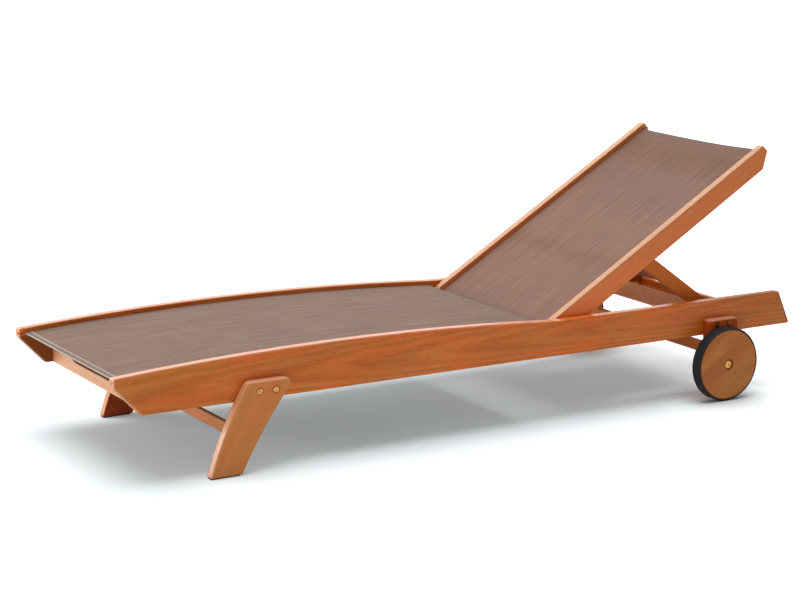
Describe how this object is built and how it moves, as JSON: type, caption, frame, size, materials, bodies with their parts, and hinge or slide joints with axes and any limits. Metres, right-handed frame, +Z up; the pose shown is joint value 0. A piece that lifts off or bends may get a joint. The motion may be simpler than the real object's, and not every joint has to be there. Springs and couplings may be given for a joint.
{
  "type": "reclining sun lounger",
  "caption": "Wooden reclining sun lounger with fabric sling seat and back, sabre front legs, rear wheels and a backrest held up by a prop in notched racks.",
  "frame": {"origin": "on the floor under the middle of the overall box, with the backrest raised as in the picture", "axes": "+X to the head end, +Y to the lying user's right, +Z up"},
  "size_m": [1.9999, 0.724, 0.6628],
  "materials": {
    "teak": "oiled, satin, fine lengthwise grain",
    "sling_mesh": "woven taupe outdoor mesh",
    "tyre_rubber": "matt black",
    "brass_fittings": "satin",
    "steel_fittings": "brushed",
    "nylon": "matt black"
  },
  "bodies": {
    "frame": {"axle_bolts": "brass_fittings", "axle_inserts": "steel_fittings", "bracket_bolts": "brass_fittings", "foot_cross_rail": "teak", "frame_nuts": "steel_fittings", "front_leg_left": "teak", "front_leg_right": "teak", "front_stretcher": "teak", "hinge_bolts": "steel_fittings", "hinge_cross_rail": "teak", "hinge_inserts": "steel_fittings", "hinge_washers": "nylon", "leg_bolts": "brass_fittings", "leg_glides": "nylon", "prop_rack_left": "teak", "prop_rack_right": "teak", "rack_screws": "steel_fittings", "rail_lock_screws": "steel_fittings", "rail_plugs": "teak", "rear_stretcher": "teak", "seat_cross_rail": "teak", "seat_sling": "sling_mesh", "seat_sling_rods": "steel_fittings", "side_rail_left": "teak", "side_rail_right": "teak", "tail_cross_rail": "teak", "wheel_bracket_left": "teak", "wheel_bracket_right": "teak", "wheel_washers": "steel_fittings"},
    "backrest": {"back_lower_cross_rail": "teak", "back_sling": "sling_mesh", "back_sling_rods": "steel_fittings", "back_stile_left": "teak", "back_stile_right": "teak", "back_top_cross_rail": "teak", "hinge_bushes": "nylon", "prop_pivot_bolts": "steel_fittings", "prop_pivot_inserts": "steel_fittings", "prop_pivot_washers": "steel_fittings", "stile_lock_screws": "steel_fittings", "stile_plugs": "teak"},
    "prop": {"prop_arm_left": "teak", "prop_arm_right": "teak", "prop_foot_board": "teak", "prop_foot_rod": "steel_fittings"},
    "wheel_left": {"wheel_disc_left": "teak", "tyre_left": "tyre_rubber", "wheel_bush_left": "nylon"},
    "wheel_right": {"wheel_disc_right": "teak", "tyre_right": "tyre_rubber", "wheel_bush_right": "nylon"}
  },
  "joints": [
    {"name": "backrest_recline", "type": "hinge", "parent": "frame", "child": "backrest", "pos_m": [0.248, 0, 0.237], "axis": [0, -1, 0], "range_deg": [-30.8, 25.7]},
    {"name": "prop_swing", "type": "hinge", "parent": "backrest", "child": "prop", "pos_m": [0.52611, 0, 0.39347], "axis": [0, -1, 0], "range_deg": [-52, 62]},
    {"name": "wheel_left_spin", "type": "hinge", "parent": "frame", "child": "wheel_left", "pos_m": [0.744, -0.345, 0.0995], "axis": [0, 1, 0], "continuous": true},
    {"name": "wheel_right_spin", "type": "hinge", "parent": "frame", "child": "wheel_right", "pos_m": [0.744, 0.345, 0.0995], "axis": [0, 1, 0], "continuous": true}
  ],
  "couplings": [
    {"joint": "prop_swing", "follows": "backrest_recline", "ratio": -1.99}
  ]
}
